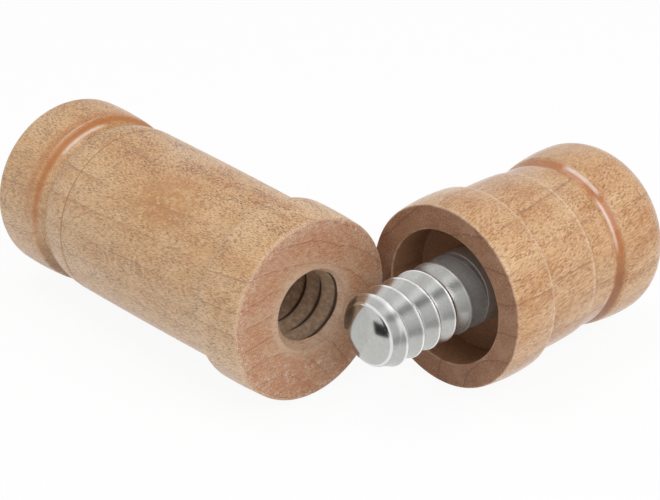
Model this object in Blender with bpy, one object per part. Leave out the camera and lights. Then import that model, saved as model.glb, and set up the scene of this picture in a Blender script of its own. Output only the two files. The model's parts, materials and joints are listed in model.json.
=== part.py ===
"""Screw nutcracker in turned maple, unscrewed and laid on a table as two pieces.

The barrel is a turned cylinder with a nut chamber drilled across it and a coarse tapped bore in
its front face. The handle is a turned cap that carries the steel screw. Screwed into the barrel,
the domed tip of the screw drives the nut against the far wall of the chamber, until the rim of
the handle lands on the barrel's face.

Frame: +Z up, the table at z = 0, the origin in the middle under the whole layout. The barrel lies
along X with its face towards +X. The handle lies beside that face, its screw pointing past it.
"""

import math

import bmesh
import bpy
from mathutils import Matrix, Vector

MM = 0.001
WELD = 0.001 * MM

# Barrel, measured along its axis from the face.
BARREL_LENGTH = 109.3 * MM
BARREL_FACE_RADIUS = 25.0 * MM
BARREL_RING_RADIUS = 25.65 * MM
BARREL_RING_WIDTH = 15.6 * MM
BARREL_RING_CROWN = 0.15 * MM
BARREL_SHOULDER = 1.8 * MM  # round at the back of the front ring
BODY_FRONT_RADIUS = 23.35 * MM
BODY_BACK_RADIUS = 24.75 * MM
BODY_CROWN = 0.2 * MM
BEAD_WIDTH = 8.2 * MM
BEAD_BACK_RADIUS = 23.9 * MM
BEAD_CROWN = 0.3 * MM
BARREL_COVE_WIDTH = 5.8 * MM  # between the corners, before they are rounded
BARREL_COVE_DEPTH = 2.8 * MM  # under the bead's edge, to the corner before it is rounded
BARREL_COVE_FLOOR = 1.9 * MM  # from the bead's edge back to the deepest corner
BARREL_COVE_ROUND = 2.2 * MM
LIP_FRONT_RADIUS = 25.1 * MM
LIP_EDGE_ROUND = 1.6 * MM
LIP_WIDTH = 18.0 * MM
LIP_CROWN = 0.2 * MM
LIP_ROUND_LENGTH = 3.6 * MM
LIP_ROUND_DEPTH = 4.2 * MM

# Nut chamber and tapped wall.
TAPPED_WALL = 20.5 * MM
CHAMBER_RADIUS = 18.0 * MM
MOUTH_FLARE = 0.65 * MM  # of the 45 degree countersink past the thread where it meets the face

# Handle, measured along its axis from the rim.
HANDLE_LENGTH = 65.6 * MM
RIM_RADIUS = 25.2 * MM
HANDLE_RING_RADIUS = 25.7 * MM
HANDLE_RING_CROWN = 0.4 * MM
HANDLE_RING_WIDTH = 14.4 * MM
HANDLE_SHOULDER = 0.9 * MM
WAIST_FRONT_RADIUS = 23.4 * MM
WAIST_BACK_RADIUS = 23.7 * MM
WAIST_CROWN = 0.3 * MM
NECK_BAND_WIDTH = 7.6 * MM
NECK_BAND_RADIUS = 23.1 * MM
HANDLE_COVE_WIDTH = 4.8 * MM
HANDLE_COVE_DEPTH = 1.4 * MM
HANDLE_COVE_FLOOR = 1.5 * MM
HANDLE_COVE_ROUND = 1.6 * MM
POMMEL_FRONT_RADIUS = 24.1 * MM
POMMEL_EDGE_ROUND = 1.2 * MM
POMMEL_RADIUS = 24.8 * MM
POMMEL_WIDTH = 19.4 * MM
POMMEL_CROWN = 0.25 * MM
POMMEL_ROUND = 9.2 * MM
RECESS_RADIUS = 18.4 * MM
RECESS_DEPTH = 12.0 * MM

# Turned detail that both wooden pieces share.
EDGE_ROUND = 0.6 * MM
GROOVE_WIDTH = 0.9 * MM
GROOVE_DEPTH = 0.55 * MM

# Screw, collar and the thread that the barrel is tapped with.
THREAD_PITCH = 5.9 * MM
CREST_RADIUS = 10.3 * MM
ROOT_RADIUS = 8.7 * MM
CREST_SHARE = 0.14  # width of the crest land over the pitch
THREAD_CLEARANCE = 0.35 * MM
SCREW_REACH = 27.4 * MM  # past the rim, to the edge of the dome
DOME_RADIUS = 6.9 * MM
DOME_HEIGHT = 2.0 * MM
TIP_ROUND = 1.8 * MM  # length of the rounded edge between the crests and the dome
RUN_OUT = 3.0 * MM
COLLAR_LENGTH = 6.0 * MM
TANG_RADIUS = 6.5 * MM
TANG_LENGTH = 26.0 * MM
TANG_GROOVE_DEPTH = 0.6 * MM
TANG_GROOVE_SPACING = 5.0 * MM
SCREW_START_ANGLE = math.radians(337)
BORE_START_ANGLE = math.radians(224)

# Fits and layout.
SEAT_GAP = 0.3 * MM  # between pieces that seat on each other
RIM_TO_BARREL_GAP = 2.6 * MM
SCREW_TO_FACE_GAP = 7.5 * MM
LAYOUT_ANGLE = math.radians(87)  # from the barrel's axis to the screw's

# Facets.
SEGMENTS = 48
THREAD_SEGMENTS = 40
SCALLOP_STEPS = 5
ARC_STEPS = 4
CROWN_STEPS = 3
EDGE_STEPS = 3
ROUND_STEPS = 2  # of each rounded corner of a cove
SHARP_ANGLE = math.radians(32)


def clear_scene():
    for item in list(bpy.data.objects):
        bpy.data.objects.remove(item, do_unlink=True)


def make_material(name, colour, roughness, metallic=0.0, coat=0.0):
    material = bpy.data.materials.new(name)
    material.use_nodes = True
    shader = material.node_tree.nodes["Principled BSDF"]
    shader.inputs["Base Color"].default_value = (*colour, 1.0)
    shader.inputs["Roughness"].default_value = roughness
    shader.inputs["Metallic"].default_value = metallic
    shader.inputs["Coat Weight"].default_value = coat
    return material


# Outlines are lists of (station, radius), the station measured back from a piece's front face.


def crown(start, end, rise, steps=CROWN_STEPS):
    """Points after start on the circular arc to end; rise is its height off the chord, outward."""
    (s0, r0), (s1, r1) = start, end
    chord = math.hypot(s1 - s0, r1 - r0)
    radius = (chord * chord / 4 + rise * rise) / (2 * rise)
    half = math.asin(chord / (2 * abs(radius)))
    along = ((s1 - s0) / chord, (r1 - r0) / chord)
    outward = (-along[1], along[0])
    points = []
    for step in range(1, steps + 1):
        angle = half * (2 * step / steps - 1)
        run = abs(radius) * math.sin(angle)
        lift = rise - math.copysign(abs(radius) * (1 - math.cos(angle)), rise)
        middle = ((s0 + s1) / 2, (r0 + r1) / 2)
        points.append(
            (
                middle[0] + along[0] * run + outward[0] * lift,
                middle[1] + along[1] * run + outward[1] * lift,
            )
        )
    return points


def rounded_corner(station, radius, length, depth, steps=ARC_STEPS):
    """Quarter round that leaves the outside at (station, radius) and turns in towards the axis."""
    return [
        (
            station + length * math.sin(math.pi / 2 * step / steps),
            radius - depth * (1 - math.cos(math.pi / 2 * step / steps)),
        )
        for step in range(steps + 1)
    ]


def rounded_edge(radius, size, steps=EDGE_STEPS):
    """Quarter round from a face at station 0 out to the full radius."""
    corner = rounded_corner(0, radius, size, size, steps)
    return [(size - station, edge) for station, edge in reversed(corner)]


def v_groove(station, radius):
    return [
        (station + GROOVE_WIDTH / 2, radius - GROOVE_DEPTH),
        (station + GROOVE_WIDTH, radius),
    ]


def fillet(before, corner, after, size, steps=ROUND_STEPS):
    """Points of the arc that rounds a corner of an outline."""
    corner = Vector(corner)
    to_before = (Vector(before) - corner).normalized()
    to_after = (Vector(after) - corner).normalized()
    half = to_before.angle(to_after) / 2
    centre = corner + (to_before + to_after).normalized() * size / math.sin(half)
    first = corner + to_before * size / math.tan(half) - centre
    last = corner + to_after * size / math.tan(half) - centre
    turn = math.atan2(first.cross(last), first.dot(last))
    start = math.atan2(first.y, first.x)
    return [
        (
            centre.x + size * math.cos(start + turn * step / steps),
            centre.y + size * math.sin(start + turn * step / steps),
        )
        for step in range(steps + 1)
    ]


def cove(before, edge, floor, lip, after, rounds):
    """From a bead's back edge down to the floor of a cove and up to the lip, all three rounded."""
    corners = [before, edge, floor, lip, after]
    points = []
    for index, size in enumerate(rounds):
        points += fillet(*corners[index : index + 3], size)
    return points


def barrel_outline():
    lip_start = BARREL_LENGTH - LIP_WIDTH
    cove_start = lip_start - BARREL_COVE_WIDTH
    bead_start = cove_start - BEAD_WIDTH
    groove_start = bead_start - GROOVE_WIDTH
    shoulder_start = BARREL_RING_WIDTH - BARREL_SHOULDER
    points = [(0, 0)]
    points += rounded_edge(BARREL_FACE_RADIUS, EDGE_ROUND)
    points += crown(points[-1], (shoulder_start, BARREL_RING_RADIUS), BARREL_RING_CROWN)
    drop = BARREL_RING_RADIUS - BODY_FRONT_RADIUS
    points += rounded_corner(shoulder_start, BARREL_RING_RADIUS, BARREL_SHOULDER, drop)[1:]
    points += crown(points[-1], (groove_start, BODY_BACK_RADIUS), BODY_CROWN, 2 * CROWN_STEPS)
    points += v_groove(groove_start, BODY_BACK_RADIUS)
    lip_end = BARREL_LENGTH - LIP_ROUND_LENGTH
    edge = (cove_start, BEAD_BACK_RADIUS)
    floor = (cove_start + BARREL_COVE_FLOOR, BEAD_BACK_RADIUS - BARREL_COVE_DEPTH)
    lip = (lip_start, LIP_FRONT_RADIUS)
    lip_back = (lip_end, BARREL_RING_RADIUS)
    rounds = (EDGE_ROUND, BARREL_COVE_ROUND, LIP_EDGE_ROUND)
    points += crown(points[-1], edge, BEAD_CROWN)[:-1]
    points += cove(points[-1], edge, floor, lip, lip_back, rounds)
    points += crown(points[-1], lip_back, LIP_CROWN)
    points += rounded_corner(lip_end, BARREL_RING_RADIUS, LIP_ROUND_LENGTH, LIP_ROUND_DEPTH)[1:]
    points.append((BARREL_LENGTH, 0))
    return points


def handle_outline():
    """Starts at the bottom of the tang's socket, so that the recess and the socket are turned too."""
    pommel_start = HANDLE_LENGTH - POMMEL_WIDTH
    cove_start = pommel_start - HANDLE_COVE_WIDTH
    band_start = cove_start - NECK_BAND_WIDTH
    groove_start = band_start - GROOVE_WIDTH
    shoulder_start = HANDLE_RING_WIDTH - HANDLE_SHOULDER
    socket_radius = TANG_RADIUS + SEAT_GAP
    socket_bottom = RECESS_DEPTH + TANG_LENGTH + SEAT_GAP
    points = [(socket_bottom, 0), (socket_bottom, socket_radius), (RECESS_DEPTH, socket_radius)]
    floor_round = rounded_corner(0, RECESS_RADIUS, EDGE_ROUND, EDGE_ROUND, EDGE_STEPS)
    points += [(RECESS_DEPTH - EDGE_ROUND + s, r) for s, r in reversed(floor_round)]
    points.append((EDGE_ROUND / 2, RECESS_RADIUS))
    points.append((0, RECESS_RADIUS + EDGE_ROUND / 2))
    points += rounded_edge(RIM_RADIUS, EDGE_ROUND)
    points += crown(points[-1], (shoulder_start, HANDLE_RING_RADIUS), HANDLE_RING_CROWN, ARC_STEPS)
    drop = HANDLE_RING_RADIUS - WAIST_FRONT_RADIUS
    points += rounded_corner(shoulder_start, HANDLE_RING_RADIUS, HANDLE_SHOULDER, drop)[1:]
    points += crown(points[-1], (groove_start, WAIST_BACK_RADIUS), WAIST_CROWN)
    points += v_groove(groove_start, NECK_BAND_RADIUS)
    round_start = HANDLE_LENGTH - POMMEL_ROUND
    edge = (cove_start, NECK_BAND_RADIUS)
    floor = (cove_start + HANDLE_COVE_FLOOR, NECK_BAND_RADIUS - HANDLE_COVE_DEPTH)
    lip = (pommel_start, POMMEL_FRONT_RADIUS)
    pommel_back = (round_start, POMMEL_RADIUS)
    rounds = (EDGE_ROUND, HANDLE_COVE_ROUND, POMMEL_EDGE_ROUND)
    points += cove(points[-1], edge, floor, lip, pommel_back, rounds)
    points += crown(points[-1], pommel_back, POMMEL_CROWN)
    points += rounded_corner(round_start, POMMEL_RADIUS, POMMEL_ROUND, POMMEL_ROUND)[1:]
    points.append((HANDLE_LENGTH, 0))
    return points


def collar_outline():
    """A ring with a square section, closed on itself: front face, outside, back face, bore."""
    bore = TANG_RADIUS + SEAT_GAP
    edge = EDGE_ROUND / 2
    return [
        (0, bore),
        (0, CREST_RADIUS - edge),
        (edge, CREST_RADIUS),
        (COLLAR_LENGTH - edge, CREST_RADIUS),
        (COLLAR_LENGTH, CREST_RADIUS - edge),
        (COLLAR_LENGTH, bore),
    ]


def link_object(name, bm, material, parent, depth=0.0):
    """Closes the mesh's normals and hangs the object on its axis empty, depth behind its front."""
    bmesh.ops.remove_doubles(bm, verts=bm.verts, dist=WELD)
    bmesh.ops.recalc_face_normals(bm, faces=bm.faces)
    mesh = bpy.data.meshes.new(name)
    bm.to_mesh(mesh)
    bm.free()
    mesh.shade_smooth()
    mesh.set_sharp_from_angle(angle=SHARP_ANGLE)
    if material:
        mesh.materials.append(material)
    item = bpy.data.objects.new(name, mesh)
    bpy.context.collection.objects.link(item)
    item.parent = parent
    item.location = (0, 0, -depth)
    return item


def turned(name, outline, material, parent, closed=False, depth=0.0):
    """Revolves an outline about the local Z axis, whose +Z is the piece's front."""
    bm = bmesh.new()
    section = [bm.verts.new((radius, 0, -station)) for station, radius in outline]
    pairs = list(zip(section, section[1:]))
    if closed:
        pairs.append((section[-1], section[0]))
    edges = [bm.edges.new(pair) for pair in pairs]
    bmesh.ops.spin(
        bm,
        geom=section + edges,
        cent=(0, 0, 0),
        axis=(0, 0, 1),
        dvec=(0, 0, 0),
        angle=2 * math.pi,
        steps=SEGMENTS,
        use_merge=True,
    )
    return link_object(name, bm, material, parent, depth)


# The thread is one skin whose rows follow the helix, so its crests stay clean at few faces.


def thread_rows():
    """Shares of a pitch at which the skin has a row: both edges of the crest and the scallop."""
    land = CREST_SHARE / 2
    return [land + (1 - 2 * land) * step / SCALLOP_STEPS for step in range(SCALLOP_STEPS + 1)]


def thread_lift(share):
    """Height of the thread over its root, 0 to 1, at a share of the pitch past a crest."""
    from_valley = abs(2 * (share % 1.0) - 1)
    return min(1.0, from_valley / (1 - CREST_SHARE)) ** 2


def helix_columns(bm, low, high, radius_at, start_angle):
    """One column of (row number, vertex) for each meridian, from the low ring to the high one."""
    rows = thread_rows()
    first = math.floor(low / THREAD_PITCH) - 2
    last = math.ceil(high / THREAD_PITCH) + 1
    margin = 0.02 * THREAD_PITCH
    columns = []
    for segment in range(THREAD_SEGMENTS):
        turn = segment / THREAD_SEGMENTS
        heights = [(-math.inf, low)]
        for whole in range(first, last):
            for index, share in enumerate(rows):
                height = (whole + share + turn) * THREAD_PITCH
                if low + margin < height < high - margin:
                    heights.append((whole * len(rows) + index, height))
        heights.append((math.inf, high))
        angle = 2 * math.pi * turn + start_angle
        column = []
        for key, height in heights:
            radius = radius_at(height, height / THREAD_PITCH - turn)
            point = (radius * math.cos(angle), radius * math.sin(angle), height)
            column.append((key, bm.verts.new(point)))
        columns.append(column)
    return columns


def join_columns(bm, left, right):
    """Faces between two columns whose rows are numbered alike but may start and end apart."""
    a, b = 0, 0
    while a < len(left) - 1 or b < len(right) - 1:
        next_left = left[a + 1][0] if a < len(left) - 1 else None
        next_right = right[b + 1][0] if b < len(right) - 1 else None
        if next_left == next_right:
            bm.faces.new((left[a][1], right[b][1], right[b + 1][1], left[a + 1][1]))
            a += 1
            b += 1
        elif next_right is None or (next_left is not None and next_left < next_right):
            bm.faces.new((left[a][1], right[b][1], left[a + 1][1]))
            a += 1
        else:
            bm.faces.new((left[a][1], right[b][1], right[b + 1][1]))
            b += 1


def cap_rings(bm, ring, outline, start_angle):
    """Carries a level ring on over (height, radius) points, the last of them on the axis."""
    for height, radius in outline:
        if radius == 0:
            pole = bm.verts.new((0, 0, height))
            for here, after in zip(ring, ring[1:] + ring[:1]):
                bm.faces.new((here, after, pole))
            return
        fresh = []
        for segment in range(THREAD_SEGMENTS):
            angle = 2 * math.pi * segment / THREAD_SEGMENTS + start_angle
            fresh.append(bm.verts.new((radius * math.cos(angle), radius * math.sin(angle), height)))
        for here, after, above, above_after in zip(
            ring, ring[1:] + ring[:1], fresh, fresh[1:] + fresh[:1]
        ):
            bm.faces.new((here, after, above_after, above))
        ring = fresh


def threaded_rod(low, high, radius_at, tail, head, start_angle):
    """A closed rod: the threaded skin from low to high, the tail below it and the head above."""
    bm = bmesh.new()
    columns = helix_columns(bm, low, high, radius_at, start_angle)
    rows_per_turn = len(thread_rows())
    for here, after in zip(columns, columns[1:]):
        join_columns(bm, here, after)
    wrapped = [(key - rows_per_turn, vertex) for key, vertex in columns[0]]
    join_columns(bm, columns[-1], wrapped)
    cap_rings(bm, [column[0][1] for column in columns], tail, start_angle)
    cap_rings(bm, [column[-1][1] for column in columns], head, start_angle)
    return bm


def smooth_step(value):
    value = min(1.0, max(0.0, value))
    return value * value * (3 - 2 * value)


def screw_mesh():
    """Heights are measured from the floor of the handle's recess towards the tip."""
    shoulder = COLLAR_LENGTH + 2 * SEAT_GAP
    dome_edge = RECESS_DEPTH + SCREW_REACH
    depth = CREST_RADIUS - ROOT_RADIUS

    def blank_radius(height):
        run = max(0.0, 1 - (dome_edge - height) / TIP_ROUND)
        return DOME_RADIUS + (CREST_RADIUS - DOME_RADIUS) * math.sqrt(1 - min(1.0, run) ** 2)

    def radius_at(height, turns):
        run_out = 1 - smooth_step((height - shoulder) / RUN_OUT)
        lift = max(thread_lift(turns), run_out)
        return min(ROOT_RADIUS + depth * lift, blank_radius(height))

    # The thread stops where the rounded end of the blank comes down to the root.
    root_share = (ROOT_RADIUS - DOME_RADIUS) / (CREST_RADIUS - DOME_RADIUS)
    thread_end = dome_edge - TIP_ROUND * (1 - math.sqrt(1 - root_share**2))
    head = []
    for step in range(1, 3):
        height = thread_end + (dome_edge - thread_end) * step / 2
        head.append((height, blank_radius(height)))
    dome = (DOME_RADIUS**2 + DOME_HEIGHT**2) / (2 * DOME_HEIGHT)
    for step in range(1, ARC_STEPS + 1):
        radius = DOME_RADIUS * (1 - step / ARC_STEPS)
        lift = math.sqrt(dome * dome - radius * radius) - dome + DOME_HEIGHT
        head.append((dome_edge + lift, radius))

    tail = [(shoulder, TANG_RADIUS)]
    groove = -TANG_GROOVE_SPACING
    while groove - TANG_GROOVE_SPACING > -TANG_LENGTH:
        half = TANG_GROOVE_SPACING / 4
        tail.append((groove + half, TANG_RADIUS))
        tail.append((groove, TANG_RADIUS - TANG_GROOVE_DEPTH))
        tail.append((groove - half, TANG_RADIUS))
        groove -= 2 * TANG_GROOVE_SPACING
    tail.append((-TANG_LENGTH + EDGE_ROUND, TANG_RADIUS))
    tail.append((-TANG_LENGTH, TANG_RADIUS - EDGE_ROUND))
    tail.append((-TANG_LENGTH, 0))
    return threaded_rod(shoulder, thread_end, radius_at, tail, head, SCREW_START_ANGLE)


def tap_mesh():
    """The cutter for the barrel's bore: the screw's own thread, larger by the clearance."""
    mouth_radius = CREST_RADIUS + THREAD_CLEARANCE + MOUTH_FLARE
    low = -TAPPED_WALL - CHAMBER_RADIUS / 2
    high = THREAD_PITCH / 3

    def radius_at(height, turns):
        depth = CREST_RADIUS - ROOT_RADIUS
        thread = ROOT_RADIUS + THREAD_CLEARANCE + depth * thread_lift(turns)
        return max(thread, mouth_radius + height)

    return threaded_rod(low, high, radius_at, [(low, 0)], [(high, 0)], BORE_START_ANGLE)


def chamber_mesh():
    """Round-bottomed cutter for the nut chamber, its mouth towards local +Z."""
    reach = 2 * BARREL_RING_RADIUS
    bm = bmesh.new()
    outline = [(-reach, 0), (-reach, CHAMBER_RADIUS)]
    outline += rounded_corner(0, CHAMBER_RADIUS, CHAMBER_RADIUS, CHAMBER_RADIUS, 2 * ARC_STEPS)
    section = [bm.verts.new((radius, 0, -station)) for station, radius in outline]
    edges = [bm.edges.new(pair) for pair in zip(section, section[1:])]
    bmesh.ops.spin(
        bm,
        geom=section + edges,
        cent=(0, 0, 0),
        axis=(0, 0, 1),
        dvec=(0, 0, 0),
        angle=2 * math.pi,
        steps=THREAD_SEGMENTS,
        use_merge=True,
    )
    return bm


def cut(target, cutter):
    cutter.hide_render = True
    cutter.display_type = "WIRE"
    modifier = target.modifiers.new(f"cut {cutter.name}", "BOOLEAN")
    modifier.operation = "DIFFERENCE"
    modifier.solver = "EXACT"
    modifier.object = cutter


def lying_extent(outline, front, axis):
    """Corners, in plan, of a turned piece that lies with its front at a point, facing along axis."""
    xs = []
    ys = []
    for station, radius in outline:
        centre = front - station * axis
        xs += [centre.x - radius * abs(axis.y), centre.x + radius * abs(axis.y)]
        ys += [centre.y - radius * abs(axis.x), centre.y + radius * abs(axis.x)]
    return Vector((min(xs), min(ys))), Vector((max(xs), max(ys)))


def axis_empty(name, location, heading):
    """An empty on a piece's axis, its +Z level and turned to the heading from +X."""
    empty = bpy.data.objects.new(name, None)
    empty.empty_display_size = BARREL_FACE_RADIUS
    empty.matrix_world = (
        Matrix.Translation(location)
        @ Matrix.Rotation(heading, 4, "Z")
        @ Matrix.Rotation(math.pi / 2, 4, "Y")
    )
    bpy.context.collection.objects.link(empty)
    return empty


def build():
    clear_scene()
    maple = make_material("honey maple", (0.62, 0.40, 0.22), 0.42, coat=0.25)
    cap_maple = make_material("honey maple, handle", (0.60, 0.37, 0.19), 0.42, coat=0.25)
    steel = make_material("polished steel", (0.66, 0.66, 0.64), 0.2, metallic=1.0)
    collar_steel = make_material("turned steel", (0.45, 0.45, 0.44), 0.3, metallic=1.0)

    barrel_points = barrel_outline()
    handle_points = handle_outline()
    barrel_height = max(radius for _, radius in barrel_points)
    handle_height = max(radius for _, radius in handle_points)

    # The handle's rim stops short of the barrel's side, and its screw passes before the face.
    tip_way = Vector((math.cos(LAYOUT_ANGLE), -math.sin(LAYOUT_ANGLE), 0))
    handle_front = Vector(
        (
            SCREW_TO_FACE_GAP + CREST_RADIUS,
            barrel_height + RIM_TO_BARREL_GAP + handle_height * tip_way.x,
            handle_height,
        )
    )
    barrel_low, barrel_high = lying_extent(barrel_points, Vector((0, 0, 0)), Vector((1, 0, 0)))
    handle_low, handle_high = lying_extent(handle_points, handle_front, tip_way)
    middle = Vector(
        (
            (min(barrel_low.x, handle_low.x) + max(barrel_high.x, handle_high.x)) / 2,
            (min(barrel_low.y, handle_low.y) + max(barrel_high.y, handle_high.y)) / 2,
            0,
        )
    )
    barrel_axis = axis_empty("barrel_axis", Vector((0, 0, barrel_height)) - middle, 0)
    handle_axis = axis_empty("handle_axis", handle_front - middle, -LAYOUT_ANGLE)

    barrel = turned("barrel", barrel_points, maple, barrel_axis)
    tap = link_object("bore_tap", tap_mesh(), None, barrel_axis)
    chamber = link_object("chamber_cutter", chamber_mesh(), None, barrel_axis)
    chamber.location = (0, 0, -TAPPED_WALL - CHAMBER_RADIUS)
    chamber.rotation_euler = (-math.pi / 2, 0, 0)
    for cutter in (chamber, tap):
        cut(barrel, cutter)

    turned("handle", handle_points, cap_maple, handle_axis)
    collar_front = RECESS_DEPTH - SEAT_GAP - COLLAR_LENGTH
    turned("collar", collar_outline(), collar_steel, handle_axis, closed=True, depth=collar_front)
    link_object("screw", screw_mesh(), steel, handle_axis, depth=RECESS_DEPTH)


build()
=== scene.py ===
import json
import math

import bmesh
import bpy
from mathutils import Matrix, Quaternion, Vector


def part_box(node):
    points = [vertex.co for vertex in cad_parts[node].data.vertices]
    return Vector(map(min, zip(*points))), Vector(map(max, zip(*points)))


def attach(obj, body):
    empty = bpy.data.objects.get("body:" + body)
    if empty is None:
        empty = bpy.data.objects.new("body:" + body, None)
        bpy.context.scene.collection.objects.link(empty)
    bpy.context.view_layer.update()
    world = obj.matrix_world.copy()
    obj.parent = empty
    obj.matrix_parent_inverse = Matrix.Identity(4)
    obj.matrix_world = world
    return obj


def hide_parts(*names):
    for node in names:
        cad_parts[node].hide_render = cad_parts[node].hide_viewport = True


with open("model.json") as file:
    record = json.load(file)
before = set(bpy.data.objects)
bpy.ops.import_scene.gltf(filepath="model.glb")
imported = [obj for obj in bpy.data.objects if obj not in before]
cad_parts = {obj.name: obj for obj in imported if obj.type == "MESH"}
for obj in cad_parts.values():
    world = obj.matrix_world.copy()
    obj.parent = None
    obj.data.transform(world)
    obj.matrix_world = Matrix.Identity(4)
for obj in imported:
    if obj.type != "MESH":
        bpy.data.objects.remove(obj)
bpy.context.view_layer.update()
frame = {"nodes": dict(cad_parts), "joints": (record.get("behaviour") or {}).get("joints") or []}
print("frame loaded:", ", ".join(sorted(frame["nodes"])))

mm = 0.001  # every size below is in millimetres; meshes are made in metres


def bothWays(operation):
    # the Math node of an operator, and of its reflected form
    return (
        lambda left, right: left.graph.maths(operation, left, right),
        lambda right, left: right.graph.maths(operation, left, right),
    )


class Wire:
    # an output socket that maths can be written on; every operation adds one Math node
    def __init__(self, graph, socket):
        self.graph = graph
        self.socket = socket

    __add__, __radd__ = bothWays("ADD")
    __sub__, __rsub__ = bothWays("SUBTRACT")
    __mul__, __rmul__ = bothWays("MULTIPLY")
    __truediv__, __rtruediv__ = bothWays("DIVIDE")
    __pow__, __rpow__ = bothWays("POWER")


class Graph:
    def __init__(self, tree):
        self.tree = tree
        tree.nodes.clear()

    def node(self, kind, settings, sockets, out=0):
        made = self.tree.nodes.new(kind)
        for name, value in settings.items():
            setattr(made, name, value)
        for name, value in sockets.items():
            if isinstance(value, Wire):
                self.tree.links.new(value.socket, made.inputs[name])
            else:
                made.inputs[name].default_value = value
        return Wire(self, made.outputs[out]) if out is not None else None

    def maths(self, operation, a, b=0.0):
        return self.node("ShaderNodeMath", {"operation": operation}, {0: a, 1: b})

    def vector(self, operation, a, b):
        return self.node("ShaderNodeVectorMath", {"operation": operation}, {0: a, 1: b}, "Vector")

    def step(self, value, low, high):
        # smooth 0 to 1 as value goes from low to high; low may be the larger
        sockets = {"Value": value, "From Min": low, "From Max": high}
        return self.node("ShaderNodeMapRange", {"interpolation_type": "SMOOTHSTEP"}, sockets)

    def band(self, value, start, end, soft):
        # 1 between start and end, falling off softly outside them
        rising = self.step(value, start - soft, start + soft)
        return rising * self.step(value, end + soft, end - soft)

    def mix(self, factor, a, b, blend="MIX"):
        settings = {"data_type": "RGBA", "blend_type": blend}
        return self.node("ShaderNodeMix", settings, {0: factor, 6: a, 7: b}, 2)

    def noise(self, place, scale, detail=2.0, roughness=0.5, distortion=0.0, stretch=None):
        if stretch:
            place = self.vector("MULTIPLY", place, stretch)
        sockets = {"Vector": place, "Scale": scale, "Detail": detail, "Roughness": roughness}
        sockets["Distortion"] = distortion
        return self.node("ShaderNodeTexNoise", {}, sockets, "Fac")

    def shade(self, colour, amount):
        # the colour times a grey amount
        return self.mix(1.0, colour, self.grey(amount), "MULTIPLY")

    def grey(self, value):
        return self.node("ShaderNodeCombineColor", {}, {0: value, 1: value, 2: value})

    def bump(self, height, strength, distance):
        # the distance is in millimetres
        sockets = {"Height": height, "Strength": strength, "Distance": distance * mm}
        return self.node("ShaderNodeBump", {}, sockets)

    def output(self, shader, kind="Material"):
        self.node("ShaderNodeOutput" + kind, {}, {"Surface": shader}, None)

    def principled(self, sockets):
        self.output(self.node("ShaderNodeBsdfPrincipled", {}, sockets))


def newMaterial(name):
    material = bpy.data.materials.new(name)
    material.use_nodes = True
    return material, Graph(material.node_tree)


def rgb(red, green, blue):
    # a colour given as 0 to 255 screen values, as the linear numbers that shaders take
    def linear(value):
        value = value / 255
        return value / 12.92 if value <= 0.04045 else ((value + 0.055) / 1.055) ** 2.4

    return (linear(red), linear(green), linear(blue), 1.0)


# An outline is a list of (station, radius); the station is measured back from the piece's front.
def crown(start, end, rise, steps):
    # points after start on the arc to end; rise is the arc's height off its chord, outward
    (s0, r0), (s1, r1) = start, end
    chord = math.hypot(s1 - s0, r1 - r0)
    radius = (chord * chord / 4 + rise * rise) / (2 * rise)
    half = math.asin(chord / (2 * abs(radius)))
    along = ((s1 - s0) / chord, (r1 - r0) / chord)
    points = []
    for step in range(1, steps + 1):
        angle = half * (2 * step / steps - 1)
        run = abs(radius) * math.sin(angle)
        lift = rise - math.copysign(abs(radius) * (1 - math.cos(angle)), rise)
        station = (s0 + s1) / 2 + along[0] * run - along[1] * lift
        points.append((station, (r0 + r1) / 2 + along[1] * run + along[0] * lift))
    return points


def cornerRound(station, radius, length, depth, steps):
    # a quarter round that leaves the outside at (station, radius) and turns in to the axis
    points = []
    for step in range(steps + 1):
        angle = math.pi / 2 * step / steps
        points.append((station + length * math.sin(angle), radius - depth * (1 - math.cos(angle))))
    return points


def edgeRound(radius, size, steps):
    # the same round at the front of a piece, from the face out to the radius
    corner = cornerRound(0, radius, size, size, steps)
    return [(size - station, edge) for station, edge in reversed(corner)]


def fillet(before, corner, after, size, steps):
    # points of the arc that rounds a corner of an outline
    corner = Vector(corner)
    toBefore = (Vector(before) - corner).normalized()
    toAfter = (Vector(after) - corner).normalized()
    half = toBefore.angle(toAfter) / 2
    centre = corner + (toBefore + toAfter).normalized() * size / math.sin(half)
    first = corner + toBefore * size / math.tan(half) - centre
    last = corner + toAfter * size / math.tan(half) - centre
    turn = math.atan2(first.cross(last), first.dot(last))
    start = math.atan2(first.y, first.x)
    points = []
    for step in range(steps + 1):
        angle = start + turn * step / steps
        points.append((centre.x + size * math.cos(angle), centre.y + size * math.sin(angle)))
    return points


def cove(before, edge, floor, lip, after, rounds, steps):
    # from a bead's back edge down to the floor of a cove and up to the lip, all three rounded
    corners = [before, edge, floor, lip, after]
    points = []
    for index, size in enumerate(rounds):
        points += fillet(*corners[index : index + 3], size, steps)
    return points


def spun(outline, segments, closed=False):
    # revolves an outline, in millimetres, about local Z, whose +Z is the piece's front
    bm = bmesh.new()
    section = [bm.verts.new((radius * mm, 0, -station * mm)) for station, radius in outline]
    pairs = list(zip(section, section[1:]))
    if closed:
        pairs.append((section[-1], section[0]))
    edges = [bm.edges.new(pair) for pair in pairs]
    turn = {"cent": (0, 0, 0), "axis": (0, 0, 1), "dvec": (0, 0, 0), "angle": 2 * math.pi}
    bmesh.ops.spin(bm, geom=section + edges, steps=segments, use_merge=True, **turn)
    bmesh.ops.remove_doubles(bm, verts=bm.verts, dist=1e-7)
    bmesh.ops.recalc_face_normals(bm, faces=bm.faces)
    return bm


def added(name, data):
    item = bpy.data.objects.new(name, data)
    bpy.context.scene.collection.objects.link(item)
    return item


def placed(name, bm, where, sharp=30):
    mesh = bpy.data.meshes.new(name)
    bm.to_mesh(mesh)
    bm.free()
    piece = added(name, mesh)
    piece.matrix_world = where
    soften(mesh, sharp)
    return piece


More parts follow.
